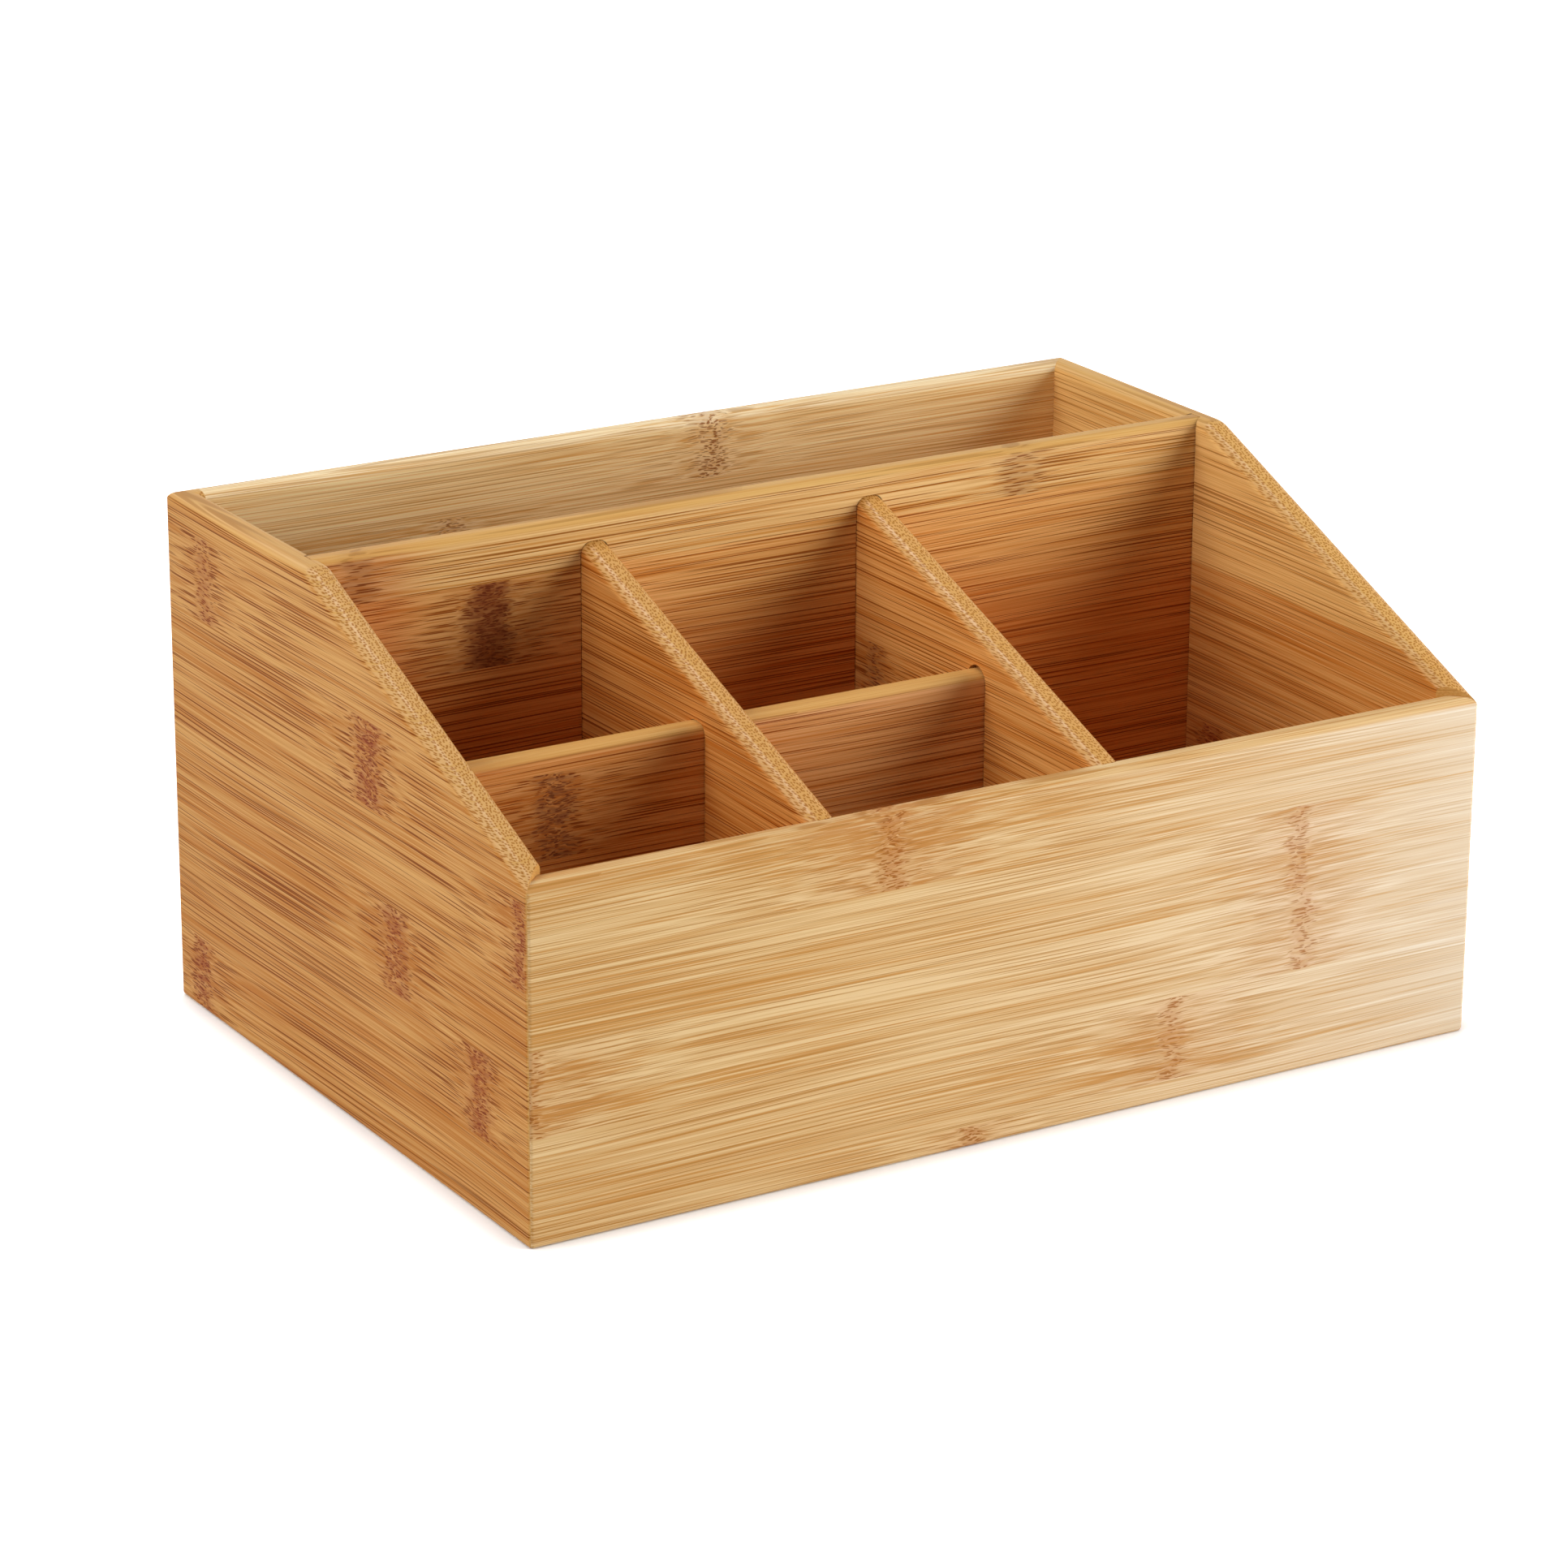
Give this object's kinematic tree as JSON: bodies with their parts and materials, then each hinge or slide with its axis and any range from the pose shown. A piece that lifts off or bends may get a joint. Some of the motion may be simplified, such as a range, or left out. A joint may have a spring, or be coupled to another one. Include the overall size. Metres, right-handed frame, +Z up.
{
  "type": "desk organizer",
  "caption": "Open bamboo desk organizer with a long tall rear bay for letters and divided bays for pens and small things in front, under sloping sides.",
  "frame": {"origin": "on the table under the centre of the organizer", "axes": "+X to the right along the front, +Y from the low front to the tall back, +Z up"},
  "size_m": [0.28, 0.195, 0.14],
  "materials": {
    "bamboo_outer": "satin varnish",
    "bamboo_inner": "satin varnish",
    "bamboo_base": "satin varnish"
  },
  "bodies": {
    "root": {"front_panel": "bamboo_outer", "back_panel": "bamboo_outer", "left_side_panel": "bamboo_outer", "right_side_panel": "bamboo_outer", "base_panel": "bamboo_base", "rear_partition": "bamboo_inner", "left_divider": "bamboo_inner", "right_divider": "bamboo_inner", "left_cross_divider": "bamboo_inner", "middle_cross_divider": "bamboo_inner"}
  },
  "joints": []
}
